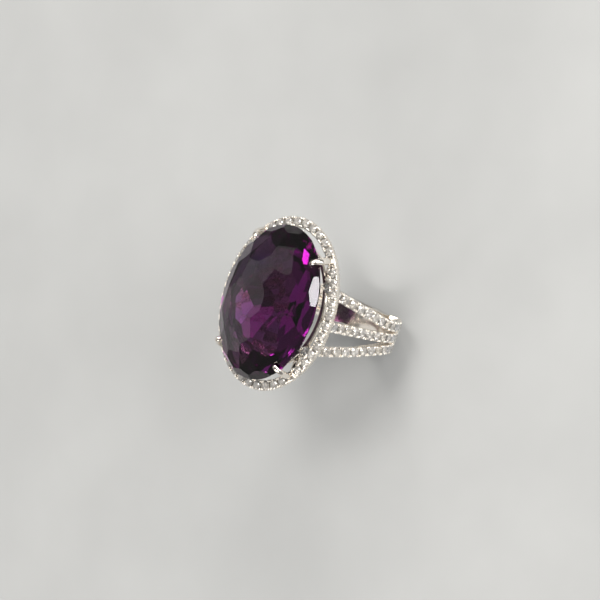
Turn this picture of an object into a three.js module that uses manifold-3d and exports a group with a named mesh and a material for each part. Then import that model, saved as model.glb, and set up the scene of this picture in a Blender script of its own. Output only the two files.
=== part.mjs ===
// Cocktail ring: a large oval amethyst held by four claws above an oval halo of small diamonds,
// on a shank whose shoulders split into three diamond-set bars on each side.
// Millimetres. X runs across the finger, Y along it towards the fingertip (front), Z up through
// the stone. The origin is the centre of the finger opening.
import * as THREE from "three";
import { mergeVertices } from "three/addons/utils/BufferGeometryUtils.js";
import Module from "manifold-3d";

const wasm = await Module();
wasm.setup();

// Finger opening and shank
const FINGER_RADIUS = 8.5;
const SHANK_OUTER_RADIUS = 10.1;
const SHANK_HALF_WIDTH_TOP = 2.33;
const SHANK_HALF_WIDTH_BASE = 1.9;
const SHANK_TAPER_END_DEG = 18;
const SHANK_EDGE_CHAMFER = 0.25;
const SHANK_RINGS = 26;
const BAR_START_DEG = -50;
const JOINT_GAP_DEG = 0.3;

// Centre stone: a 22 x 16 mm oval, as fractions of the girdle against height over the girdle
const STONE_HALF_LENGTH = 11.05;
const STONE_HALF_WIDTH = 8.1;
const GIRDLE_Z = 13.3;
const STONE_SIDES = 24;
const STONE_PROFILE = [
  [0.12, -4.2],
  [0.56, -3],
  [0.86, -1.25],
  [1, -0.15],
  [1, 0.15],
  [0.92, 1.15],
  [0.76, 2.2],
  [0.52, 3.25],
  [0.25, 3.85],
];

// Halo: an oval rail with a groove for its stones
const HALO_OUTER_HALF_LENGTH = 12.4;
const HALO_OUTER_HALF_WIDTH = 9.98;
const HALO_BAND = 1.5;
const HALO_SETTING_Z = 11.7;
const HALO_DEPTH = 1.1;
const HALO_PLACES = 44;
const HALO_CLAW_PLACES = [6, 16, 28, 38];

// Small round diamonds
const MELEE_RADIUS = 0.68;
const MELEE_TABLE_RADIUS = 0.39;
const MELEE_CROWN = 0.2;
const MELEE_PAVILION = 0.58;
const MELEE_SIDES = 8;
const MELEE_PITCH = 1.47;

// Grooved section shared by the halo and the shoulder bars, measured from the girdle plane
const RAIL_TOP = -0.05;
const GROOVE_HALF_WIDTH = 0.65;
const GROOVE_FLOOR = -0.66;
const BAR_HALF_WIDTH = 0.75;
const BAR_WALL_FOOT = -0.35;
const BAR_KEEL_HALF_WIDTH = 0.42;
const BAR_DEPTH_LOW = 1.6;
const BAR_DEPTH_HIGH = 1.15;
const BAR_SLIM_FROM = 0.45;
const BAR_SLIM_TO = 0.75;
const BAR_RINGS = 27;
const THREAD_HALF = 0.09;
const THREAD_SIDES = 4;

// Shoulder bars: angle round the finger against distance off the middle, then points of the rise
const OUTER_WRAP = [
  [-50, 1.58],
  [-48.5, 1.58],
  [-35, 1.58],
  [-20, 1.64],
  [-8, 1.83],
  [3, 2.12],
];
const OUTER_RISE = [
  [9.86, 2.48, 2.2],
  [9.42, 2.92, 4],
  [8.85, 3.34, 5.8],
  [8.12, 3.74, 7.5],
  [7.15, 4.15, 9.05],
  [6.42, 4.6, 9.95],
  [5.85, 5.05, 10.55],
];
const MIDDLE_WRAP = OUTER_WRAP.map(([angle]) => [angle, 0]);
const MIDDLE_RISE = [
  [9.95, 0, 2.2],
  [9.75, 0, 4.4],
  [9.58, 0, 6.6],
  [9.43, 0, 8.6],
  [9.33, 0, 10.52],
];

// Gallery rail under the stone
const GALLERY_HALF_LENGTH = 8.4;
const GALLERY_HALF_WIDTH = 6.2;
const GALLERY_Z = 9.3;
const GALLERY_RADIUS = 0.45;
const GALLERY_RINGS = 48;
const WIRE_SIDES = 8;

// Claws: points of the one on the front right, from the gallery rail over the stone's edge
const CLAW_RADIUS = 0.5;
const CLAW_LINE = [
  [4.75, 6.34, 8.98],
  [5.25, 6.95, 9.9],
  [6.15, 8.05, 11.1],
  [6.4, 8.4, 12.2],
  [6.32, 8.3, 13.1],
  [6.08, 8.06, 13.8],
  [5.72, 7.8, 14.28],
  [5.25, 7.46, 14.52],
];
const CLAW_BACK_RISE = 0.4;
const CLAW_RINGS = 13;
const CLAW_TIP_SHARE = 0.55;
const SADDLE_RADIUS = 0.72;
const SADDLE_SIDES = 12;
const FIT_GAP = 0.03;
const STONE_CUT_SCALE = 1.006;

const QUARTER = Math.PI / 2;
const radians = THREE.MathUtils.degToRad;
const point = (x, y, z) => new THREE.Vector3(x, y, z);

const whiteGold = new THREE.MeshStandardMaterial({
  color: 0xe6ddd0,
  roughness: 0.16,
  metalness: 1,
});
const amethyst = new THREE.MeshStandardMaterial({
  color: 0x5b1f73,
  roughness: 0.04,
  metalness: 0,
});
const diamond = new THREE.MeshStandardMaterial({
  color: 0xf3f1ee,
  roughness: 0.03,
  metalness: 0,
});

const ring = new THREE.Group();
ring.name = "cocktail_ring";

function addNode(name, geometry, material) {
  const mesh = new THREE.Mesh(geometry, material);
  mesh.name = name;
  ring.add(mesh);
}

function signedVolume(positions, index) {
  const a = new THREE.Vector3();
  const b = new THREE.Vector3();
  const c = new THREE.Vector3();
  let sum = 0;
  for (let i = 0; i < index.length; i += 3) {
    a.fromArray(positions, index[i] * 3);
    b.fromArray(positions, index[i + 1] * 3);
    c.fromArray(positions, index[i + 2] * 3);
    sum += a.dot(b.cross(c));
  }
  return sum;
}

// A closed surface through rings of points. A loop joins its last ring to its first, and any
// other run of rings is capped by the triangulated outline.
function loft(rings, outline) {
  const sides = rings[0].length;
  const count = rings.length;
  const positions = rings.flat().flatMap((p) => p.toArray());
  const index = [];
  const spans = outline ? count - 1 : count;
  for (let r = 0; r < spans; r++) {
    for (let s = 0; s < sides; s++) {
      const a = r * sides + s;
      const b = r * sides + ((s + 1) % sides);
      const c = ((r + 1) % count) * sides + s;
      const d = ((r + 1) % count) * sides + ((s + 1) % sides);
      index.push(a, b, d, a, d, c);
    }
  }
  if (outline) {
    const last = (count - 1) * sides;
    const clockwise = THREE.ShapeUtils.isClockWise(outline);
    for (const [a, b, c] of THREE.ShapeUtils.triangulateShape(outline, [])) {
      if (clockwise) {
        index.push(a, b, c, last + c, last + b, last + a);
      } else {
        index.push(c, b, a, last + a, last + b, last + c);
      }
    }
  }
  if (signedVolume(positions, index) < 0) {
    index.reverse();
  }
  const geometry = new THREE.BufferGeometry();
  geometry.setAttribute("position", new THREE.Float32BufferAttribute(positions, 3));
  geometry.setIndex(index);
  return geometry;
}

function solidOf(geometry) {
  const merged = mergeVertices(geometry, 1e-4);
  return new wasm.Manifold(
    new wasm.Mesh({
      numProp: 3,
      vertProperties: new Float32Array(merged.attributes.position.array),
      triVerts: new Uint32Array(merged.index.array),
    }),
  );
}

function geometryOf(solid) {
  const mesh = solid.getMesh();
  const geometry = new THREE.BufferGeometry();
  geometry.setAttribute("position", new THREE.Float32BufferAttribute(mesh.vertProperties, 3));
  geometry.setIndex(new THREE.BufferAttribute(mesh.triVerts, 1));
  return geometry;
}

const union = (parts) => parts.reduce((sum, part) => sum.add(part));
const carve = (solid, cutters) => cutters.reduce((left, cutter) => left.subtract(cutter), solid);

// Position, direction of travel, direction away from the metal and sideways direction.
function frameAt(position, along, away) {
  const out = away.clone().addScaledVector(along, -away.dot(along)).normalize();
  const side = new THREE.Vector3().crossVectors(along, out).normalize();
  return { position, along, out, side };
}

function placeSection(frame, outline) {
  return outline.map((p) =>
    frame.position.clone().addScaledVector(frame.side, p.x).addScaledVector(frame.out, p.y),
  );
}

function groovedOutline(depth) {
  return [
    new THREE.Vector2(-BAR_HALF_WIDTH, RAIL_TOP),
    new THREE.Vector2(-GROOVE_HALF_WIDTH, RAIL_TOP),
    new THREE.Vector2(0, GROOVE_FLOOR),
    new THREE.Vector2(GROOVE_HALF_WIDTH, RAIL_TOP),
    new THREE.Vector2(BAR_HALF_WIDTH, RAIL_TOP),
    new THREE.Vector2(BAR_HALF_WIDTH, BAR_WALL_FOOT),
    new THREE.Vector2(BAR_KEEL_HALF_WIDTH, -depth),
    new THREE.Vector2(-BAR_KEEL_HALF_WIDTH, -depth),
    new THREE.Vector2(-BAR_HALF_WIDTH, BAR_WALL_FOOT),
  ];
}

function circleOutline(radius, sides) {
  return Array.from({ length: sides }, (_, i) => {
    const angle = (i * 2 * Math.PI) / sides;
    return new THREE.Vector2(radius * Math.cos(angle), radius * Math.sin(angle));
  });
}

// One small brilliant-cut diamond: table, crown and pavilion on an eight-sided girdle.
function meleeSolid(frame) {
  const level = { ...frame, out: frame.along };
  const girdle = placeSection(level, circleOutline(MELEE_RADIUS, MELEE_SIDES));
  const table = placeSection(level, circleOutline(MELEE_TABLE_RADIUS, MELEE_SIDES)).map((p) =>
    p.addScaledVector(frame.out, MELEE_CROWN),
  );
  const culet = frame.position.clone().addScaledVector(frame.out, -MELEE_PAVILION);
  const positions = [...table, ...girdle, culet].flatMap((p) => p.toArray());
  const index = [];
  for (let i = 0; i < MELEE_SIDES; i++) {
    const next = (i + 1) % MELEE_SIDES;
    index.push(i, i + MELEE_SIDES, next + MELEE_SIDES, i, next + MELEE_SIDES, next);
    index.push(i + MELEE_SIDES, 2 * MELEE_SIDES, next + MELEE_SIDES);
  }
  for (let i = 1; i < MELEE_SIDES - 1; i++) {
    index.push(0, i, i + 1);
  }
  if (signedVolume(positions, index) < 0) {
    index.reverse();
  }
  const geometry = new THREE.BufferGeometry();
  geometry.setAttribute("position", new THREE.Float32BufferAttribute(positions, 3));
  geometry.setIndex(index);
  return solidOf(geometry);
}

// Centre stone
function ovalStone(scale) {
  const rings = STONE_PROFILE.map(([share, height]) =>
    Array.from({ length: STONE_SIDES }, (_, i) => {
      const angle = (i * 2 * Math.PI) / STONE_SIDES;
      return point(
        scale * share * STONE_HALF_WIDTH * Math.cos(angle),
        scale * share * STONE_HALF_LENGTH * Math.sin(angle),
        GIRDLE_Z + scale * height,
      );
    }),
  );
  return loft(rings, circleOutline(1, STONE_SIDES));
}

// Claws, one per corner of the stone
function clawGeometry(sideX, sideY, extra) {
  const curve = new THREE.CatmullRomCurve3(
    CLAW_LINE.map(([x, y, z]) => point(sideX * x, sideY * y, z)),
  );
  const away = point(sideX, sideY, CLAW_BACK_RISE).normalize();
  const outline = circleOutline(1, WIRE_SIDES);
  const rings = [];
  for (let i = 0; i < CLAW_RINGS; i++) {
    const u = i / (CLAW_RINGS - 1);
    const closing = i === CLAW_RINGS - 1 ? CLAW_TIP_SHARE : 1;
    const radius = CLAW_RADIUS * closing + extra;
    const frame = frameAt(curve.getPointAt(u), curve.getTangentAt(u), away);
    rings.push(placeSection(frame, outline.map((p) => p.clone().multiplyScalar(radius))));
  }
  return loft(rings, outline);
}

const CORNERS = [
  ["front_right", 1, 1],
  ["front_left", -1, 1],
  ["back_left", -1, -1],
  ["back_right", 1, -1],
];
const stoneCutter = solidOf(ovalStone(STONE_CUT_SCALE));
const clawCutters = CORNERS.map(([, sx, sy]) => solidOf(clawGeometry(sx, sy, FIT_GAP)));

addNode("centre_amethyst", ovalStone(1), amethyst);
for (const [corner, sx, sy] of CORNERS) {
  const claw = carve(solidOf(clawGeometry(sx, sy, 0)), [stoneCutter]);
  addNode(`claw_${corner}`, geometryOf(claw), whiteGold);
}

// Halo rail, with a solid saddle where each claw comes through
const haloLine = new THREE.EllipseCurve(
  0,
  0,
  HALO_OUTER_HALF_WIDTH - HALO_BAND / 2,
  HALO_OUTER_HALF_LENGTH - HALO_BAND / 2,
);

function haloFrame(share) {
  const at = haloLine.getPointAt(share % 1);
  const along = haloLine.getTangentAt(share % 1);
  return frameAt(
    point(at.x, at.y, HALO_SETTING_Z),
    point(along.x, along.y, 0).normalize(),
    point(0, 0, 1),
  );
}

function haloRail() {
  const outline = groovedOutline(HALO_DEPTH);
  const rings = [];
  for (let i = 0; i < 2 * HALO_PLACES; i++) {
    rings.push(placeSection(haloFrame(i / (2 * HALO_PLACES)), outline));
  }
  const saddles = HALO_CLAW_PLACES.map((place) => {
    const frame = haloFrame(place / HALO_PLACES);
    const disc = circleOutline(SADDLE_RADIUS, SADDLE_SIDES);
    const levels = [-HALO_DEPTH, 0].map((height) =>
      disc.map((p) => frame.position.clone().add(point(p.x, p.y, height))),
    );
    return solidOf(loft(levels, disc));
  });
  return carve(union([solidOf(loft(rings)), ...saddles]), clawCutters);
}

addNode("halo_rail", geometryOf(haloRail()), whiteGold);

let haloNumber = 0;
for (let place = 0; place < HALO_PLACES; place++) {
  if (HALO_CLAW_PLACES.includes(place)) {
    continue;
  }
  haloNumber += 1;
  const stone = meleeSolid(haloFrame(place / HALO_PLACES));
  const label = String(haloNumber).padStart(2, "0");
  addNode(`halo_diamond_${label}`, geometryOf(stone), diamond);
}

// Gallery rail, notched for the feet of the claws
function galleryGeometry(extra) {
  const line = new THREE.EllipseCurve(0, 0, GALLERY_HALF_WIDTH, GALLERY_HALF_LENGTH);
  const outline = circleOutline(GALLERY_RADIUS + extra, WIRE_SIDES);
  const rings = [];
  for (let i = 0; i < GALLERY_RINGS; i++) {
    const at = line.getPointAt(i / GALLERY_RINGS);
    const along = line.getTangentAt(i / GALLERY_RINGS);
    const frame = frameAt(
      point(at.x, at.y, GALLERY_Z),
      point(along.x, along.y, 0).normalize(),
      point(0, 0, 1),
    );
    rings.push(placeSection(frame, outline));
  }
  return loft(rings);
}

addNode("gallery_rail", geometryOf(carve(solidOf(galleryGeometry(0)), clawCutters)), whiteGold);
const galleryCutter = solidOf(galleryGeometry(FIT_GAP));

// Shoulder bars and their rows of diamonds
function barCurve(wrap, rise, sx, sy) {
  const low = wrap.map(([angle, off]) =>
    point(
      sx * SHANK_OUTER_RADIUS * Math.cos(radians(angle)),
      sy * off,
      SHANK_OUTER_RADIUS * Math.sin(radians(angle)),
    ),
  );
  const high = rise.map(([x, y, z]) => point(sx * x, sy * y, z));
  return new THREE.CatmullRomCurve3([...low, ...high]);
}

function barFrame(curve, u) {
  const position = curve.getPointAt(u);
  const away = point(position.x, 0, position.z).normalize();
  return frameAt(position, curve.getTangentAt(u), away);
}

function barGeometry(curve) {
  const rings = [];
  for (let i = 0; i < BAR_RINGS; i++) {
    const u = i / (BAR_RINGS - 1);
    const rising = THREE.MathUtils.smoothstep(u, BAR_SLIM_FROM, BAR_SLIM_TO);
    const depth = THREE.MathUtils.lerp(BAR_DEPTH_LOW, BAR_DEPTH_HIGH, rising);
    rings.push(placeSection(barFrame(curve, u), groovedOutline(depth)));
  }
  return loft(rings, groovedOutline(BAR_DEPTH_LOW));
}

// The stones of one bar, joined through their girdles into a single row.
function rowOfMelee(curve) {
  const count = Math.floor(curve.getLength() / MELEE_PITCH);
  const frames = Array.from({ length: count }, (_, i) => barFrame(curve, (i + 0.5) / count));
  const thread = circleOutline(THREAD_HALF, THREAD_SIDES).map(
    (p) => new THREE.Vector2(p.x, p.y - THREAD_HALF),
  );
  const joined = solidOf(loft(frames.map((frame) => placeSection(frame, thread)), thread));
  return union([joined, ...frames.map(meleeSolid)]);
}

const BARS = [
  ["front", OUTER_WRAP, OUTER_RISE, 1],
  ["middle", MIDDLE_WRAP, MIDDLE_RISE, 1],
  ["back", OUTER_WRAP, OUTER_RISE, -1],
];
for (const [shoulder, sx] of [["right", 1], ["left", -1]]) {
  for (const [row, wrap, rise, sy] of BARS) {
    const curve = barCurve(wrap, rise, sx, sy);
    const bar = carve(solidOf(barGeometry(curve)), [galleryCutter]);
    addNode(`shoulder_bar_${shoulder}_${row}`, geometryOf(bar), whiteGold);
    addNode(`shoulder_diamonds_${shoulder}_${row}`, geometryOf(rowOfMelee(curve)), diamond);
  }
}

// Plain palm-side part of the shank, with flat sides across its lowest stretch
function shankBase() {
  const outlineAt = (half) => [
    new THREE.Vector2(-half, FINGER_RADIUS),
    new THREE.Vector2(half, FINGER_RADIUS),
    new THREE.Vector2(half, SHANK_OUTER_RADIUS - SHANK_EDGE_CHAMFER),
    new THREE.Vector2(half - SHANK_EDGE_CHAMFER, SHANK_OUTER_RADIUS),
    new THREE.Vector2(SHANK_EDGE_CHAMFER - half, SHANK_OUTER_RADIUS),
    new THREE.Vector2(-half, SHANK_OUTER_RADIUS - SHANK_EDGE_CHAMFER),
  ];
  const taperEnd = radians(SHANK_TAPER_END_DEG);
  const reach = QUARTER + radians(BAR_START_DEG - JOINT_GAP_DEG);
  const rings = [];
  for (let i = 0; i < SHANK_RINGS; i++) {
    const angle = THREE.MathUtils.lerp(-reach, reach, i / (SHANK_RINGS - 1));
    const widening = THREE.MathUtils.smoothstep(Math.abs(angle), taperEnd, reach);
    const half = THREE.MathUtils.lerp(SHANK_HALF_WIDTH_BASE, SHANK_HALF_WIDTH_TOP, widening);
    rings.push(
      outlineAt(half).map((p) => point(p.y * Math.sin(angle), p.x, -p.y * Math.cos(angle))),
    );
  }
  return loft(rings, outlineAt(SHANK_HALF_WIDTH_BASE));
}

addNode("shank_base", shankBase(), whiteGold);

export default ring;
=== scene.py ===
"""Cocktail ring: a large oval amethyst in four claws, with a halo, split shoulders and a shank.

Everything is in metres in the frame's axes: +X right shoulder, +Y towards the fingertip, +Z up
through the stone, origin at the centre of the finger opening.
"""
import math
import random

import bmesh
import bpy
from mathutils import Matrix, Vector


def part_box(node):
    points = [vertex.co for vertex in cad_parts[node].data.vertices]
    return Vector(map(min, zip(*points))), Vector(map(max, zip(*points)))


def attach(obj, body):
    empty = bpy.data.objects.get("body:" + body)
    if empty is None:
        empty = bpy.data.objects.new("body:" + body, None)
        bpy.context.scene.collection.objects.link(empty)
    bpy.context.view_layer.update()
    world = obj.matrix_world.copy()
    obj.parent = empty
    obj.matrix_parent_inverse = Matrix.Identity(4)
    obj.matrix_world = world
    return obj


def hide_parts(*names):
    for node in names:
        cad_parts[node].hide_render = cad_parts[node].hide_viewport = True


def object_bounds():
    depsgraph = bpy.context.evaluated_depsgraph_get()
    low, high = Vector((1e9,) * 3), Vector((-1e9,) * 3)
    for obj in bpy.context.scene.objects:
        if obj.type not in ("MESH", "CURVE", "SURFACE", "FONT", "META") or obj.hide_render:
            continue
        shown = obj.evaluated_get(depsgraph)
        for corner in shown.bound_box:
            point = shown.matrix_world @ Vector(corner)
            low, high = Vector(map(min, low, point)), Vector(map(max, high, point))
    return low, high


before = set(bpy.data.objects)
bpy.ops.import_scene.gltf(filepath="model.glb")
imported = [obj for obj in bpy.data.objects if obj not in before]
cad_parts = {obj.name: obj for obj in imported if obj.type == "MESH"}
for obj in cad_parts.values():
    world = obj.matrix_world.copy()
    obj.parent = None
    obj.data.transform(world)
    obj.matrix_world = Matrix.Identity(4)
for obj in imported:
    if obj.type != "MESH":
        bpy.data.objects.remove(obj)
cad_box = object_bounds()

MM = 0.001
SEED = 7

# Camera: the direction it looks from, what it looks at and how it is turned
CAMERA_FROM = Vector((0.601, 0.132, 0.789)).normalized()
CAMERA_DISTANCE = 0.45
CAMERA_AIM = Vector((-3.49, 0.27, 2.61)) * MM
CAMERA_UP = Vector((-0.346, 0.932, 0.107))
CAMERA_LENS = 191.7

# Rows of small stones: grooved rail section measured from the girdle plane
MELEE_RADIUS = 0.68 * MM
MELEE_PITCH = 1.47 * MM
RAIL_HALF = 0.70 * MM
RAIL_LAND = 0.60 * MM
RAIL_TOP = -0.05 * MM
RAIL_GROOVE = -0.62 * MM
RAIL_EDGE = 0.07 * MM
RAIL_WALL_FOOT = -0.30 * MM
RAIL_KEEL_HALF = 0.42 * MM
SCALLOP = 0.035 * MM
RINGS_PER_STONE = 8
GRAIN_RADIUS = 0.2 * MM
GRAIN_OFFSET = 0.54 * MM
GRAIN_SPREAD = 0.19 * MM
GRAIN_TOP = 0.18 * MM
GRAIN_FOOT = -0.35 * MM
GRAIN_SIDES = 12
GRAIN_DOME_ANGLES = (25, 50, 72, 86)
END_GRAIN_SHARE = 0.1
BRIDGE_HALF = 0.05 * MM
BRIDGE_TOP = -0.09 * MM
BRIDGE_FOOT_HALF = 0.12 * MM

# Brilliant cut: distance from the middle and height over the girdle, in girdle radii
CUT_TABLE = (0.56, 0.27)
CUT_KITES = (0.80, 0.15)
CUT_GIRDLE_HALF = 0.02
CUT_MAINS = (0.26, -0.66)
CUT_CULET = -0.85
CUT_TILT = 0.05

# Halo
HALO_BAND = 1.5 * MM
HALO_DEPTH = 1.08 * MM
HALO_PLACES = 44
HALO_CLAW_PLACES = (6, 16, 28, 38)
HALO_STEPS = 720
# Plain cap round each claw: shares of its radius, then heights as shares of its lift (mm)
SADDLE_RADIUS = 0.70 * MM
SADDLE_LIFT = 0.6
SADDLE_PROFILE = ((1.0, -1.0), (1.0, -0.1), (0.97, 0.0), (0.88, 0.09), (0.7, 0.16), (0.3, 0.2))
SADDLE_SIDES = 28

# Shoulder bars: angle round the finger against distance off the middle, then points of the rise
SHANK_RADIUS = 10.1 * MM
OUTER_WRAP = ((-50, 1.58), (-48.5, 1.58), (-35, 1.58), (-20, 1.64), (-8, 1.83), (3, 2.12))
OUTER_RISE = (
    (9.86, 2.48, 2.2),
    (9.42, 2.92, 4.0),
    (8.85, 3.34, 5.8),
    (8.12, 3.74, 7.5),
    (7.15, 4.15, 9.05),
    (6.42, 4.6, 9.95),
    (5.85, 5.05, 10.55),
)
MIDDLE_WRAP = tuple((angle, 0.0) for angle, _ in OUTER_WRAP)
MIDDLE_RISE = (
    (9.95, 0, 2.2),
    (9.75, 0, 4.4),
    (9.58, 0, 6.6),
    (9.43, 0, 8.6),
    (9.33, 0, 10.52),
)
BAR_DEPTH_LOW = 1.58 * MM
BAR_DEPTH_HIGH = 1.13 * MM
BAR_SLIM = (0.45, 0.75)

# Claws: points of the one on the front right
CLAW_LINE = (
    (4.75, 6.34, 8.98),
    (5.25, 6.95, 9.9),
    (6.15, 8.05, 11.1),
    (6.4, 8.4, 12.2),
    (6.32, 8.3, 13.1),
    (6.08, 8.06, 13.8),
    (5.72, 7.8, 14.28),
    (5.25, 7.46, 14.52),
)
CLAW_RADIUS = 0.5 * MM
CLAW_WIDE = 1.12
CLAW_THIN = 0.8
CLAW_SLIM = 0.32
CLAW_SLIM_FROM = 0.6
CLAW_TIP_LEAST = 0.02
CLAW_LEAN_BACK = 0.4
CLAW_SIDES = 20
CLAW_RINGS = 44

# Gallery wire
GALLERY_STEPS = 120
GALLERY_SIDES = 16

# Centre stone: where its girdle lies in its own box, and the painted shade on its facets
STONE_GIRDLE_SHARE = 4.2 / 8.05
STONE_OUTLINE_SIDES = 96
# Painted shade: the facets under the girdle carry a value, at most the one below, that turns their
# colour near black
PAINTED_SHADE_TONE = "painted_shade_tone"
LIGHTEST_PAINTED_SHADE = 0.05
# The one facet under the girdle left without painted shade, so light comes through it; where it
# lies in half widths
UNSHADED_FACET = Vector((-0.53, -0.27))
# The near-black colour painted on the facets under the girdle as shade, then the stone's own purple
# absorption and its density
AMETHYST_PAINTED_SHADE = (0.012, 0.008, 0.010)
AMETHYST_PASSES = (0.62, 0.13, 0.60, 1)
AMETHYST_DENSITY = 330
# Rings of facets: how many, their turn in steps, then two points on the facet, each as a share
# of the girdle's half width and a height from the girdle (mm)
CROWN_RINGS = (
    (16, 0.0, (1.0, 0.03), (0.92, 1.13)),
    (16, 0.5, (0.92, 1.13), (0.76, 2.2)),
    (8, 0.5, (0.76, 2.2), (0.52, 3.25)),
    (8, 0.0, (0.52, 3.25), (0.25, 3.8)),
)
PAVILION_RINGS = (
    (16, 0.5, (1.0, 0.03), (0.86, 1.3)),
    (16, 0.0, (0.86, 1.3), (0.56, 3.05)),
    (8, 0.0, (0.56, 3.05), (0.12, 4.15)),
)
# One small extra facet under the girdle: turn, share, height (mm), slope and depth of its cut (mm)
CORNER_TURN = math.radians(199)
CORNER_SHARE = 0.55
CORNER_HEIGHT = 3.05
CORNER_SLOPE = math.radians(23)
CORNER_DEPTH = 0.08

# Shank base
FINGER_RADIUS = 8.5 * MM
BASE_START = math.radians(-50.15)
BASE_HALF_TOP = 2.32 * MM
BASE_HALF_LOW = 1.9 * MM
BASE_TAPER = math.radians(18)
BASE_RINGS = 60
BASE_EDGE = 0.28 * MM
BASE_COMFORT = 0.1 * MM
BASE_CORNER_ANGLES = (0, 22.5, 45, 67.5, 90)

# Angles over which an edge stays sharp
SHARP_RAIL = math.radians(38)
SHARP_WIRE = math.radians(50)
SHARP_BASE = math.radians(35)

# Stage
FLOOR_HALF = 0.7
LAMP_DISTANCE = 0.8
BACKGROUND = (0.80, 0.80, 0.79, 1)
FILL = (1.0, 0.99, 0.97, 1)
FILL_STRENGTH = 0.22

random.seed(SEED)


# ---------------------------------------------------------------- helpers


def smoothstep(value, low, high):
    share = min(1.0, max(0.0, (value - low) / (high - low)))
    return share * share * (3 - 2 * share)


def finish_piece(bm, name, material, nodes=(), sharp=None):
    """Turns a bmesh into a named piece that rides on the ring's one body."""
    bmesh.ops.recalc_face_normals(bm, faces=bm.faces)
    mesh = bpy.data.meshes.new(name)
    bm.to_mesh(mesh)
    bm.free()
    if sharp is not None:
        mesh.shade_smooth()
        mesh.set_sharp_from_angle(angle=sharp)
    piece = bpy.data.objects.new(name, mesh)
    bpy.context.collection.objects.link(piece)
    mesh.materials.append(material)
    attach(piece, "root")
    if nodes:
        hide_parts(*nodes)
    return piece


class Station:
    """A point on a line: its direction of travel, the way out of the metal and the way sideways."""

    def __init__(self, at, along, away):
        self.at = at
        self.along = along.normalized()
        self.out = (away - self.along * away.dot(self.along)).normalized()
        self.side = self.along.cross(self.out).normalized()

    def place(self, side, out, along=0.0):
        return self.at + self.side * side + self.out * out + self.along * along


class Line:
    """A smooth line through points, read by the share of its length."""

    def __init__(self, points, closed=False, steps=40):
        self.points = points if closed else catmull(points, steps)
        if closed:
            self.points = self.points + [self.points[0]]
        self.reach = [0.0]
        for a, b in zip(self.points, self.points[1:]):
            self.reach.append(self.reach[-1] + (b - a).length)
        self.length = self.reach[-1]
        self.closed = closed

    def at(self, share):
        goal = (share % 1.0 if self.closed else min(1.0, max(0.0, share))) * self.length
        low, high = 0, len(self.reach) - 1
        while high - low > 1:
            middle = (low + high) // 2
            if self.reach[middle] <= goal:
                low = middle
            else:
                high = middle
        part = (goal - self.reach[low]) / (self.reach[high] - self.reach[low])
        return self.points[low].lerp(self.points[high], part)

    def direction(self, share):
        nudge = 0.002
        return (self.at(share + nudge) - self.at(share - nudge)).normalized()


def catmull(points, steps):
    """Centripetal Catmull-Rom line through the points."""
    first = points[0] * 2 - points[1]
    last = points[-1] * 2 - points[-2]
    padded = [first, *points, last]
    made = []
    for a, b, c, d in zip(padded, padded[1:], padded[2:], padded[3:]):
        gap_a = (b - a).length ** 0.5
        gap_b = (c - b).length ** 0.5
        gap_c = (d - c).length ** 0.5
        leave = ((b - a) / gap_a - (c - a) / (gap_a + gap_b) + (c - b) / gap_b) * gap_b
        arrive = ((c - b) / gap_b - (d - b) / (gap_b + gap_c) + (d - c) / gap_c) * gap_b
        for i in range(steps):
            t = i / steps
            cubic = b * 2 - c * 2 + leave + arrive
            square = c * 3 - b * 3 - leave * 2 - arrive
            made.append(b + leave * t + square * t * t + cubic * t ** 3)
    made.append(points[-1].copy())
    return made


def skin(bm, rings, closed):
    """Faces through rings of points, capped at both ends unless the run is closed."""
    verts = [[bm.verts.new(p) for p in ring] for ring in rings]
    count = len(verts)
    sides = len(verts[0])
    for r in range(count if closed else count - 1):
        here, there = verts[r], verts[(r + 1) % count]
        for s in range(sides):
            after = (s + 1) % sides
            bm.faces.new((here[s], here[after], there[after], there[s]))
    if not closed:
        bm.faces.new(verts[0])
        bm.faces.new(verts[-1])


def circle(radius, sides):
    turn = 2 * math.pi / sides
    return [(radius * math.cos(i * turn), radius * math.sin(i * turn)) for i in range(sides)]


def dome(bm, station, side, along, profile, sides):
    """A turned post: profile is (radius, height) from its foot to its closed top."""
    rings = []
    for radius, height in profile:
        rings.append(
            [station.place(side + x, height, along + y) for x, y in circle(radius, sides)]
        )
    skin(bm, rings, closed=False)


# ---------------------------------------------------------------- materials


def new_material(name):
    material = bpy.data.materials.new(name)
    material.use_nodes = True
    tree = material.node_tree
    return material, tree, tree.nodes["Principled BSDF"]


def noise(tree, scale, detail=3.0, distortion=0.0):
    place = tree.nodes.new("ShaderNodeTexCoord")
    texture = tree.nodes.new("ShaderNodeTexNoise")
    texture.inputs["Scale"].default_value = scale
    texture.inputs["Detail"].default_value = detail
    texture.inputs["Distortion"].default_value = distortion
    tree.links.new(place.outputs["Object"], texture.inputs["Vector"])
    return texture.outputs["Fac"]


def ramp(tree, value, stops):
    node = tree.nodes.new("ShaderNodeValToRGB")
    elements = node.color_ramp.elements
    elements[0].position, elements[0].color = stops[0][0], (*stops[0][1], 1)
    elements[1].position, elements[1].color = stops[-1][0], (*stops[-1][1], 1)
    for position, colour in stops[1:-1]:
        elements.new(position).color = (*colour, 1)
    tree.links.new(value, node.inputs["Fac"])
    return node.outputs["Color"]


def spread(tree, value, low, high, start=0.3, end=0.7):
    node = tree.nodes.new("ShaderNodeMapRange")
    node.inputs["From Min"].default_value = start
    node.inputs["From Max"].default_value = end
    node.inputs["To Min"].default_value = low
    node.inputs["To Max"].default_value = high
    tree.links.new(value, node.inputs["Value"])
    return node.outputs["Result"]


def bump(tree, shader, value, strength, distance):
    node = tree.nodes.new("ShaderNodeBump")
    node.inputs["Strength"].default_value = strength
    node.inputs["Distance"].default_value = distance
    tree.links.new(value, node.inputs["Height"])
    tree.links.new(node.outputs["Normal"], shader.inputs["Normal"])


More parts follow.
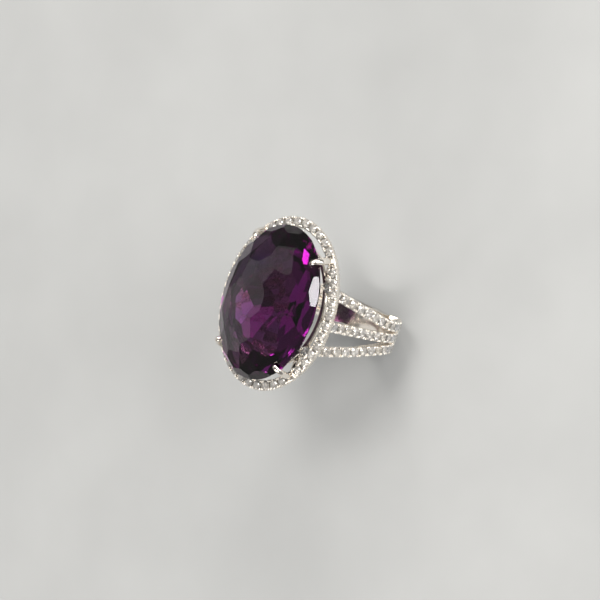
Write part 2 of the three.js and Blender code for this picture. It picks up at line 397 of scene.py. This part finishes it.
def white_gold(name, rough_low, rough_high):
    """Polished warm white metal with faint polishing marks."""
    material, tree, shader = new_material(name)
    shader.inputs["Metallic"].default_value = 1.0
    tone = ramp(
        tree,
        noise(tree, 900, 4, 0.4),
        ((0.3, (0.80, 0.745, 0.675)), (0.7, (0.90, 0.855, 0.795))),
    )
    tree.links.new(tone, shader.inputs["Base Color"])
    tree.links.new(
        spread(tree, noise(tree, 2600, 5), rough_low, rough_high), shader.inputs["Roughness"]
    )
    bump(tree, shader, noise(tree, 5200, 5, 1.2), 0.12, 0.00002)
    return material


def amethyst():
    """Purple quartz from blue violet on the left to wine on the right, with painted shade: the
    facets under the girdle are coloured near black.
    """
    material, tree, shader = new_material("amethyst")
    shader.inputs["Transmission Weight"].default_value = 1.0
    shader.inputs["IOR"].default_value = 1.545
    zones = ramp(
        tree,
        add(tree, noise(tree, 130, 2, 0.6), across(tree)),
        (
            (0.25, (0.58, 0.56, 1.0)),
            (0.5, (0.93, 0.78, 0.95)),
            (0.75, (1.0, 0.68, 0.74)),
        ),
    )
    # Painted shade: a value on each facet turns the ones under the girdle near black, all but one
    # left clear
    tone = tree.nodes.new("ShaderNodeAttribute")
    tone.attribute_name = PAINTED_SHADE_TONE
    depth = ramp(tree, tone.outputs["Fac"], ((0.0, AMETHYST_PAINTED_SHADE), (1.0, (1.0, 1.0, 1.0))))
    tree.links.new(multiply(tree, zones, depth), shader.inputs["Base Color"])
    tree.links.new(spread(tree, noise(tree, 3000, 3), 0.0, 0.012), shader.inputs["Roughness"])
    absorb = tree.nodes.new("ShaderNodeVolumeAbsorption")
    absorb.inputs["Color"].default_value = AMETHYST_PASSES
    absorb.inputs["Density"].default_value = AMETHYST_DENSITY
    tree.links.new(absorb.outputs["Volume"], tree.nodes["Material Output"].inputs["Volume"])
    return material


def across(tree):
    """A drift from the left of the stone to its right."""
    place = tree.nodes.new("ShaderNodeTexCoord")
    parts = tree.nodes.new("ShaderNodeSeparateXYZ")
    tree.links.new(place.outputs["Object"], parts.inputs["Vector"])
    return spread(tree, parts.outputs["X"], -0.2, 0.2, -8 * MM, 8 * MM)


def add(tree, one, other):
    node = tree.nodes.new("ShaderNodeMath")
    node.operation = "ADD"
    tree.links.new(one, node.inputs[0])
    tree.links.new(other, node.inputs[1])
    return node.outputs["Value"]


def multiply(tree, one, other):
    node = tree.nodes.new("ShaderNodeMix")
    node.data_type = "RGBA"
    node.blend_type = "MULTIPLY"
    node.inputs["Factor"].default_value = 1.0
    tree.links.new(one, node.inputs["A"])
    tree.links.new(other, node.inputs["B"])
    return node.outputs["Result"]


def diamond():
    """Near-white diamond whose tint drifts a little from stone to stone."""
    material, tree, shader = new_material("diamond")
    shader.inputs["Transmission Weight"].default_value = 0.78
    shader.inputs["IOR"].default_value = 2.417
    island = tree.nodes.new("ShaderNodeNewGeometry")
    tint = ramp(
        tree,
        island.outputs["Random Per Island"],
        (
            (0.0, (1.0, 0.93, 0.82)),
            (0.5, (1.0, 0.97, 0.94)),
            (1.0, (0.95, 0.96, 0.99)),
        ),
    )
    tree.links.new(tint, shader.inputs["Base Color"])
    tree.links.new(spread(tree, noise(tree, 4000, 3), 0.0, 0.02), shader.inputs["Roughness"])
    return material


GOLD = white_gold("white_gold_polished", 0.07, 0.17)
GOLD_SET = white_gold("white_gold_setting", 0.22, 0.34)
AMETHYST = amethyst()
DIAMOND = diamond()


# ---------------------------------------------------------------- small stones and their rails


def brilliant(bm, station, radius, spin):
    """One round brilliant: table, stars, kites, upper halves, girdle, lower halves and mains."""
    tilt = Matrix.Rotation(random.uniform(-CUT_TILT, CUT_TILT), 3, "X")
    tilt @= Matrix.Rotation(random.uniform(-CUT_TILT, CUT_TILT), 3, "Y")

    def ring(place, count, offset):
        share, height = place
        turn = 2 * math.pi / count
        made = []
        for i in range(count):
            angle = spin + (i + offset) * turn
            flat = Vector((share * math.cos(angle), share * math.sin(angle), height)) * radius
            flat = tilt @ flat
            made.append(bm.verts.new(station.place(flat.x, flat.z, flat.y)))
        return made

    table = ring(CUT_TABLE, 8, 0.0)
    kites = ring(CUT_KITES, 8, 0.5)
    upper = ring((1.0, CUT_GIRDLE_HALF), 16, 0.0)
    lower = ring((1.0, -CUT_GIRDLE_HALF), 16, 0.0)
    mains = ring(CUT_MAINS, 8, 0.5)
    low = tilt @ (Vector((0, 0, CUT_CULET)) * radius)
    culet = bm.verts.new(station.place(low.x, low.z, low.y))
    bm.faces.new(table)
    for i in range(8):
        after = (i + 1) % 8
        before = (i - 1) % 8
        even, odd, far = upper[2 * i], upper[2 * i + 1], upper[(2 * i + 2) % 16]
        bm.faces.new((table[i], kites[i], table[after]))
        bm.faces.new((table[i], kites[before], even, kites[i]))
        bm.faces.new((kites[i], even, odd))
        bm.faces.new((kites[i], odd, far))
        even_low, odd_low, far_low = lower[2 * i], lower[2 * i + 1], lower[(2 * i + 2) % 16]
        bm.faces.new((even, even_low, odd_low, odd))
        bm.faces.new((odd, odd_low, far_low, far))
        bm.faces.new((even_low, mains[i], odd_low))
        bm.faces.new((odd_low, mains[i], far_low))
        bm.faces.new((mains[before], culet, mains[i], even_low))


def rail_outline(depth, half):
    land = RAIL_LAND
    return [
        (-half, RAIL_TOP - RAIL_EDGE),
        (-half + RAIL_EDGE * 0.5, RAIL_TOP),
        (-land, RAIL_TOP),
        (0.0, RAIL_GROOVE),
        (land, RAIL_TOP),
        (half - RAIL_EDGE * 0.5, RAIL_TOP),
        (half, RAIL_TOP - RAIL_EDGE),
        (half, RAIL_WALL_FOOT),
        (RAIL_KEEL_HALF, -depth + RAIL_EDGE),
        (RAIL_KEEL_HALF - RAIL_EDGE, -depth),
        (-RAIL_KEEL_HALF + RAIL_EDGE, -depth),
        (-RAIL_KEEL_HALF, -depth + RAIL_EDGE),
        (-half, RAIL_WALL_FOOT),
    ]


def grains(bm, station):
    """Two pairs of raised grains of metal that hold the girdles of two neighbouring stones."""
    for side in (-GRAIN_OFFSET, GRAIN_OFFSET):
        for along in (-GRAIN_SPREAD, GRAIN_SPREAD):
            grain(bm, station, side, along)


def grain(bm, station, side, along):
    profile = [
        (GRAIN_RADIUS * 1.1, GRAIN_FOOT),
        (GRAIN_RADIUS, GRAIN_TOP - GRAIN_RADIUS),
    ]
    for degrees in GRAIN_DOME_ANGLES:
        lift = math.radians(degrees)
        profile.append(
            (
                GRAIN_RADIUS * math.cos(lift),
                GRAIN_TOP - GRAIN_RADIUS + GRAIN_RADIUS * math.sin(lift),
            )
        )
    dome(bm, station, side, along, profile, GRAIN_SIDES)


def bridge(bm, station):
    """The sliver of metal left across the groove between two seats."""
    rings = []
    for along in (-BRIDGE_HALF, BRIDGE_HALF):
        rings.append(
            [
                station.place(-RAIL_LAND, BRIDGE_TOP, along),
                station.place(RAIL_LAND, BRIDGE_TOP, along),
                station.place(BRIDGE_FOOT_HALF, RAIL_GROOVE, along),
                station.place(-BRIDGE_FOOT_HALF, RAIL_GROOVE, along),
            ]
        )
    skin(bm, rings, closed=False)


def rail(bm, stations, depths, closed):
    """A grooved rail whose edges swell at each stone and at each grain."""
    rings = []
    for number, (station, depth) in enumerate(zip(stations, depths)):
        phase = 2 * math.pi * number * 2 / RINGS_PER_STONE
        half = RAIL_HALF + SCALLOP * math.cos(phase)
        rings.append([station.place(x, y) for x, y in rail_outline(depth, half)])
    skin(bm, rings, closed)


def bar_line(wrap, rise, side_x, side_y):
    low = []
    for degrees, off in wrap:
        angle = math.radians(degrees)
        low.append(
            Vector(
                (
                    side_x * SHANK_RADIUS * math.cos(angle),
                    side_y * off * MM,
                    SHANK_RADIUS * math.sin(angle),
                )
            )
        )
    high = [Vector((side_x * x, side_y * y, z)) * MM for x, y, z in rise]
    return Line(low + high)


def bar_station(line, share):
    at = line.at(share)
    return Station(at, line.direction(share), Vector((at.x, 0, at.z)))


def build_shoulder(shoulder, side_x, row, wrap, rise, side_y):
    line = bar_line(wrap, rise, side_x, side_y)
    stones = int(line.length / MELEE_PITCH)
    steps = stones * RINGS_PER_STONE
    shares = [i / steps for i in range(steps + 1)]
    depths = [
        BAR_DEPTH_LOW + (BAR_DEPTH_HIGH - BAR_DEPTH_LOW) * smoothstep(share, *BAR_SLIM)
        for share in shares
    ]
    bm = bmesh.new()
    rail(bm, [bar_station(line, share) for share in shares], depths, closed=False)
    for joint in range(1, stones):
        station = bar_station(line, joint / stones)
        bridge(bm, station)
        grains(bm, station)
    for share in (END_GRAIN_SHARE / stones, 1 - END_GRAIN_SHARE / stones):
        grains(bm, bar_station(line, share))
    finish_piece(
        bm,
        f"bar_{shoulder}_{row}",
        GOLD_SET,
        [f"shoulder_bar_{shoulder}_{row}"],
        SHARP_RAIL,
    )
    bm = bmesh.new()
    for number in range(stones):
        station = bar_station(line, (number + 0.5) / stones)
        brilliant(bm, station, MELEE_RADIUS, random.uniform(0, math.pi / 4))
    finish_piece(
        bm,
        f"diamonds_{shoulder}_{row}",
        DIAMOND,
        [f"shoulder_diamonds_{shoulder}_{row}"],
    )


def build_shoulders():
    rows = (
        ("front", OUTER_WRAP, OUTER_RISE, 1),
        ("middle", MIDDLE_WRAP, MIDDLE_RISE, 1),
        ("back", OUTER_WRAP, OUTER_RISE, -1),
    )
    for shoulder, side_x in (("right", 1), ("left", -1)):
        for row, wrap, rise, side_y in rows:
            build_shoulder(shoulder, side_x, row, wrap, rise, side_y)


def halo_line(low, high):
    half_x = (high.x - low.x) / 2 - HALO_BAND / 2
    half_y = (high.y - low.y) / 2 - HALO_BAND / 2
    return oval(half_x, half_y, high.z, HALO_STEPS)


def oval(half_x, half_y, level, steps):
    turn = 2 * math.pi / steps
    return Line(
        [
            Vector((half_x * math.cos(i * turn), half_y * math.sin(i * turn), level))
            for i in range(steps)
        ],
        closed=True,
    )


def halo_station(line, share):
    return Station(line.at(share), line.direction(share), Vector((0, 0, 1)))


def build_halo():
    line = halo_line(*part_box("halo_rail"))
    steps = HALO_PLACES * RINGS_PER_STONE
    bm = bmesh.new()
    stations = [
        halo_station(line, (i / RINGS_PER_STONE - 0.5) / HALO_PLACES) for i in range(steps)
    ]
    rail(bm, stations, [HALO_DEPTH] * steps, closed=True)
    for place in range(HALO_PLACES):
        station = halo_station(line, (place + 0.5) / HALO_PLACES)
        bridge(bm, station)
        grains(bm, station)
    saddle = [
        (SADDLE_RADIUS * share, height * SADDLE_LIFT * MM) for share, height in SADDLE_PROFILE
    ]
    for place in HALO_CLAW_PLACES:
        dome(bm, halo_station(line, place / HALO_PLACES), 0.0, 0.0, saddle, SADDLE_SIDES)
    finish_piece(bm, "halo", GOLD_SET, ["halo_rail"], SHARP_RAIL)
    number = 0
    for place in range(HALO_PLACES):
        if place in HALO_CLAW_PLACES:
            continue
        number += 1
        bm = bmesh.new()
        station = halo_station(line, place / HALO_PLACES)
        brilliant(bm, station, MELEE_RADIUS, random.uniform(0, math.pi / 4))
        finish_piece(
            bm,
            f"halo_stone_{number:02d}",
            DIAMOND,
            [f"halo_diamond_{number:02d}"],
        )


# ---------------------------------------------------------------- claws, gallery, shank


def build_claw(corner, side_x, side_y):
    line = Line([Vector((side_x * x, side_y * y, z)) * MM for x, y, z in CLAW_LINE])
    away = Vector((side_x, side_y, CLAW_LEAN_BACK))
    rings = []
    for i in range(CLAW_RINGS):
        share = i / (CLAW_RINGS - 1)
        slim = 1 - CLAW_SLIM * smoothstep(share, CLAW_SLIM_FROM, 1.0)
        to_tip = (1 - share) * line.length / (CLAW_RADIUS * slim)
        closing = math.sqrt(max(CLAW_TIP_LEAST, 1 - (1 - min(1.0, to_tip)) ** 2))
        station = Station(line.at(share), line.direction(share), away)
        radius = CLAW_RADIUS * slim * closing
        outline = circle(radius, CLAW_SIDES)
        rings.append([station.place(x * CLAW_WIDE, y * CLAW_THIN) for x, y in outline])
    bm = bmesh.new()
    skin(bm, rings, closed=False)
    finish_piece(bm, f"prong_{corner}", GOLD, [f"claw_{corner}"], SHARP_WIRE)


def build_gallery():
    low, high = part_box("gallery_rail")
    wire = (high.z - low.z) / 2
    half_x, half_y = high.x - wire, high.y - wire
    line = oval(half_x, half_y, low.z + wire, GALLERY_STEPS)
    rings = []
    for i in range(GALLERY_STEPS):
        station = halo_station(line, i / GALLERY_STEPS)
        rings.append([station.place(x, y) for x, y in circle(wire, GALLERY_SIDES)])
    bm = bmesh.new()
    skin(bm, rings, closed=True)
    finish_piece(bm, "gallery", GOLD, ["gallery_rail"], SHARP_WIRE)


def build_shank_base():
    """The plain part of the shank: a comfort-fit band with softened edges."""
    low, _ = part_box("shank_base")
    outer = -low.z
    reach = math.pi / 2 + BASE_START
    rings = []
    for i in range(BASE_RINGS):
        angle = -reach + 2 * reach * i / (BASE_RINGS - 1)
        widen = smoothstep(abs(angle), BASE_TAPER, reach)
        half = BASE_HALF_LOW + (BASE_HALF_TOP - BASE_HALF_LOW) * widen
        outline = base_outline(half, outer)
        rings.append(
            [Vector((r * math.sin(angle), y, -r * math.cos(angle))) for y, r in outline]
        )
    bm = bmesh.new()
    skin(bm, rings, closed=False)
    finish_piece(bm, "shank", GOLD, ["shank_base"], SHARP_BASE)


def base_outline(half, outer):
    edge = BASE_EDGE
    comfort = BASE_COMFORT
    corner = []
    for degrees in BASE_CORNER_ANGLES:
        angle = math.radians(degrees)
        across_band = half - edge + edge * math.cos(angle)
        corner.append((across_band, outer - edge + edge * math.sin(angle)))
    top = corner + [(-y, r) for y, r in reversed(corner)]
    inner = [
        (-half, FINGER_RADIUS + comfort * 1.6),
        (-half + comfort, FINGER_RADIUS + comfort * 0.5),
        (-half * 0.5, FINGER_RADIUS),
        (half * 0.5, FINGER_RADIUS),
        (half - comfort, FINGER_RADIUS + comfort * 0.5),
        (half, FINGER_RADIUS + comfort * 1.6),
    ]
    return top + inner


# ---------------------------------------------------------------- centre stone


def saw(bm, point, normal):
    """Cuts a flat facet: everything beyond the plane goes, and the cut is closed."""
    everything = bm.verts[:] + bm.edges[:] + bm.faces[:]
    cut = bmesh.ops.bisect_plane(
        bm, geom=everything, plane_co=point, plane_no=normal, clear_outer=True, dist=1e-6
    )
    edges = [e for e in cut["geom_cut"] if isinstance(e, bmesh.types.BMEdge)]
    if edges:
        bmesh.ops.edgeloop_fill(bm, edges=edges)


def cut_half(bm, rings, half_x, way):
    """Rings of flat facets over the girdle (way 1) or under it (way -1)."""
    for count, offset, (share, height), (inner_share, inner_height) in rings:
        slope = math.atan2((inner_height - height) * MM / half_x, share - inner_share)
        for i in range(count):
            angle = (i + offset) * 2 * math.pi / count
            out = Vector((math.cos(angle), math.sin(angle), 0))
            point = out * share + Vector((0, 0, way * height * MM / half_x))
            normal = out * math.sin(slope) + Vector((0, 0, way * math.cos(slope)))
            saw(bm, point, normal)


def cut_corner(bm, half_x):
    """A small flat across one corner of the lower facets, where light comes through."""
    out = Vector((math.cos(CORNER_TURN), math.sin(CORNER_TURN), 0))
    normal = out * math.sin(CORNER_SLOPE) + Vector((0, 0, -math.cos(CORNER_SLOPE)))
    corner = out * CORNER_SHARE + Vector((0, 0, -CORNER_HEIGHT * MM / half_x))
    saw(bm, corner - normal * (CORNER_DEPTH * MM / half_x), normal)


def build_stone():
    low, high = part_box("centre_amethyst")
    half_x, half_y = (high.x - low.x) / 2, (high.y - low.y) / 2
    girdle = low.z + STONE_GIRDLE_SHARE * (high.z - low.z)
    crown = (high.z - girdle) / half_x
    pavilion = (girdle - low.z) / half_x
    bm = bmesh.new()
    outline = circle(1.0, STONE_OUTLINE_SIDES)
    skin(
        bm,
        [[Vector((x, y, z)) for x, y in outline] for z in (-pavilion, crown)],
        closed=False,
    )
    cut_half(bm, CROWN_RINGS, half_x, 1)
    cut_half(bm, PAVILION_RINGS, half_x, -1)
    cut_corner(bm, half_x)
    stretch = Matrix.Diagonal((half_x, half_y, half_x, 1))
    bmesh.ops.transform(bm, matrix=Matrix.Translation((0, 0, girdle)) @ stretch, verts=bm.verts)
    piece = finish_piece(bm, "oval_amethyst", AMETHYST, ["centre_amethyst"])
    # Painted shade: each facet under the girdle gets a small random value that the material turns
    # near black; the one nearest the given point keeps full colour so light shows through it
    tones = piece.data.attributes.new(PAINTED_SHADE_TONE, "FLOAT", "FACE")
    under = [face for face in piece.data.polygons if face.center.z < girdle]
    for face in piece.data.polygons:
        tones.data[face.index].value = 1.0
    for face in under:
        tones.data[face.index].value = LIGHTEST_PAINTED_SHADE * random.random() ** 2
    clear = min(under, key=lambda face: (face.center.xy / half_x - UNSHADED_FACET).length)
    tones.data[clear.index].value = 1.0


# ---------------------------------------------------------------- stage


def build_floor():
    """Pale seamless paper under the ring."""
    material, tree, shader = new_material("paper")
    tone = ramp(
        tree,
        noise(tree, 60, 3),
        ((0.3, (0.355, 0.362, 0.366)), (0.7, (0.38, 0.388, 0.392))),
    )
    tree.links.new(tone, shader.inputs["Base Color"])
    shader.inputs["Roughness"].default_value = 0.75
    half = FLOOR_HALF
    level = cad_box[0].z
    bm = bmesh.new()
    corners = ((-half, -half), (half, -half), (half, half), (-half, half))
    bm.faces.new([bm.verts.new((x, y, level)) for x, y in corners])
    mesh = bpy.data.meshes.new("floor")
    bm.to_mesh(mesh)
    bm.free()
    mesh.materials.append(material)
    floor = bpy.data.objects.new("floor", mesh)
    bpy.context.collection.objects.link(floor)


def softbox(name, way, size, radiance, colour=(1.0, 1.0, 1.0)):
    """A rectangular diffuser that faces the ring: size is (width, height) and way its direction."""
    width, height = size
    data = bpy.data.lights.new(name, "AREA")
    data.shape = "RECTANGLE"
    data.size = width
    data.size_y = height
    data.energy = math.pi * width * height * radiance
    data.color = colour
    lamp = bpy.data.objects.new(name, data)
    lamp.location = Vector(way).normalized() * LAMP_DISTANCE
    lamp.rotation_mode = "QUATERNION"
    lamp.rotation_quaternion = (-lamp.location).to_track_quat("-Z", "Y")
    lamp.visible_camera = False
    bpy.context.collection.objects.link(lamp)


def build_lights():
    softbox("left", (-0.80, -0.18, 0.50), (0.84, 0.74), 0.55, (1.0, 0.985, 0.96))
    softbox("veil", (-0.40, 0.50, 0.77), (0.36, 0.36), 0.5, (1.0, 0.985, 0.96))
    softbox("front", (0.10, 0.85, 0.50), (0.80, 0.11), 18.5, (1.0, 0.965, 0.91))
    softbox("back", (0.15, -0.85, 0.45), (0.70, 0.11), 16.5, (1.0, 0.97, 0.93))
    softbox("key", (0.78, 0.36, 0.50), (0.36, 0.36), 10.5, (1.0, 0.98, 0.94))
    softbox("top", (0.04, 0.37, 0.93), (0.34, 0.34), 10.5, (1.0, 0.97, 0.92))
    softbox("glint", (0.93, 0.33, 0.185), (0.10, 0.12), 15.0)
    world = bpy.data.worlds.new("studio")
    world.use_nodes = True
    tree = world.node_tree
    seen = tree.nodes["Background"]
    seen.inputs["Color"].default_value = BACKGROUND
    seen.inputs["Strength"].default_value = 1.0
    around = tree.nodes.new("ShaderNodeBackground")
    around.inputs["Color"].default_value = FILL
    around.inputs["Strength"].default_value = FILL_STRENGTH
    path = tree.nodes.new("ShaderNodeLightPath")
    mix = tree.nodes.new("ShaderNodeMixShader")
    tree.links.new(path.outputs["Is Camera Ray"], mix.inputs["Fac"])
    tree.links.new(around.outputs["Background"], mix.inputs[1])
    tree.links.new(seen.outputs["Background"], mix.inputs[2])
    tree.links.new(mix.outputs["Shader"], tree.nodes["World Output"].inputs["Surface"])
    bpy.context.scene.world = world


def build_camera():
    data = bpy.data.cameras.new("camera")
    data.sensor_width = 36
    data.lens = CAMERA_LENS
    data.clip_start = 0.01
    data.clip_end = 10
    camera = bpy.data.objects.new("camera", data)
    bpy.context.collection.objects.link(camera)
    place = CAMERA_FROM * CAMERA_DISTANCE
    back = (place - CAMERA_AIM).normalized()
    right = CAMERA_UP.cross(back).normalized()
    up = back.cross(right)
    turn = Matrix((right, up, back)).transposed().to_4x4()
    camera.matrix_world = Matrix.Translation(place) @ turn
    bpy.context.scene.camera = camera


def set_studio():
    scene = bpy.context.scene
    scene.view_settings.view_transform = "Standard"
    scene.cycles.max_bounces = 16
    scene.cycles.transmission_bounces = 16
    scene.cycles.glossy_bounces = 8
    scene.cycles.caustics_reflective = False
    scene.cycles.caustics_refractive = False


build_camera()
build_stone()
for corner_name, corner_x, corner_y in (
    ("front_right", 1, 1),
    ("front_left", -1, 1),
    ("back_left", -1, -1),
    ("back_right", 1, -1),
):
    build_claw(corner_name, corner_x, corner_y)
build_halo()
build_gallery()
build_shoulders()
build_shank_base()
build_floor()
build_lights()
set_studio()
